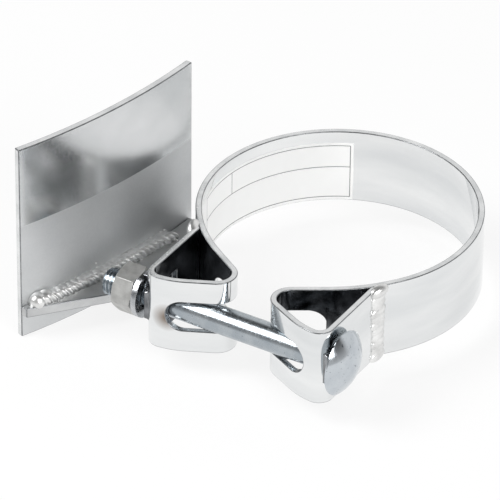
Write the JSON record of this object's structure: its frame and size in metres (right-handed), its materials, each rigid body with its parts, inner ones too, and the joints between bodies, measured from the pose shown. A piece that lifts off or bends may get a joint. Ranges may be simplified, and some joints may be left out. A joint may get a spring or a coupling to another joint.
{
  "type": "pipe band clamp with support bracket",
  "caption": "Steel band clamp for a pipe, its looped ends drawn together by a long bolt, with a curved saddle plate carried on a welded gusset.",
  "frame": {"origin": "on the pipe's axis, at the middle of the band's width", "axes": "+Z along the pipe's axis, -Y towards the gap between the loops, the bolt parallel to X with its nut on the -X side"},
  "size_m": [0.162, 0.159, 0.0935],
  "materials": {
    "polished_strip": "bright rolled stainless strip, mirror-like along the ring",
    "rolled_plate": "satin rolled stainless plate",
    "weld_metal": "rippled weld bead",
    "zinc_bolt": "bright bluish zinc plate",
    "zinc_nut": "dull grey zinc plate",
    "spring_steel": "zinc plated spring steel",
    "paper": "white coated paper"
  },
  "bodies": {
    "bracket_side": {"band_left": "polished_strip", "loop_weld_left": "weld_metal", "saddle_plate": "rolled_plate", "gusset_plate": "rolled_plate", "saddle_weld": "weld_metal", "ring_seam_weld": "weld_metal", "size_label": "paper"},
    "free_side": {"band_right": "polished_strip", "loop_weld_right": "weld_metal"},
    "bolt": {"carriage_bolt": "zinc_bolt"},
    "washer": {"lock_washer": "spring_steel"},
    "nut": {"hex_nut": "zinc_nut"}
  },
  "joints": [
    {"name": "nut_turn", "type": "hinge", "parent": "washer", "child": "nut", "pos_m": [-0.055, -0.07683, 0], "axis": [1, 0, 0], "range_deg": [0, 1385]},
    {"name": "nut_travel", "type": "slide", "parent": "bolt", "child": "washer", "axis": [1, 0, 0], "range_m": [0, 0.0068]},
    {"name": "band_flex", "type": "hinge", "parent": "bracket_side", "child": "free_side", "pos_m": [0, 0.05992, 0], "axis": [0, 0, -1], "range_deg": [0, 2.85]},
    {"name": "bolt_swing", "type": "hinge", "parent": "free_side", "child": "bolt", "pos_m": [0.0465, -0.07683, 0], "axis": [0, 0, 1], "range_deg": [0, 1.45]}
  ],
  "couplings": [
    {"joint": "nut_travel", "follows": "nut_turn", "m_per_rad": 0.00027852},
    {"joint": "band_flex", "follows": "nut_turn", "ratio": 0.0020288},
    {"joint": "bolt_swing", "follows": "nut_turn", "ratio": 0.0010131}
  ]
}
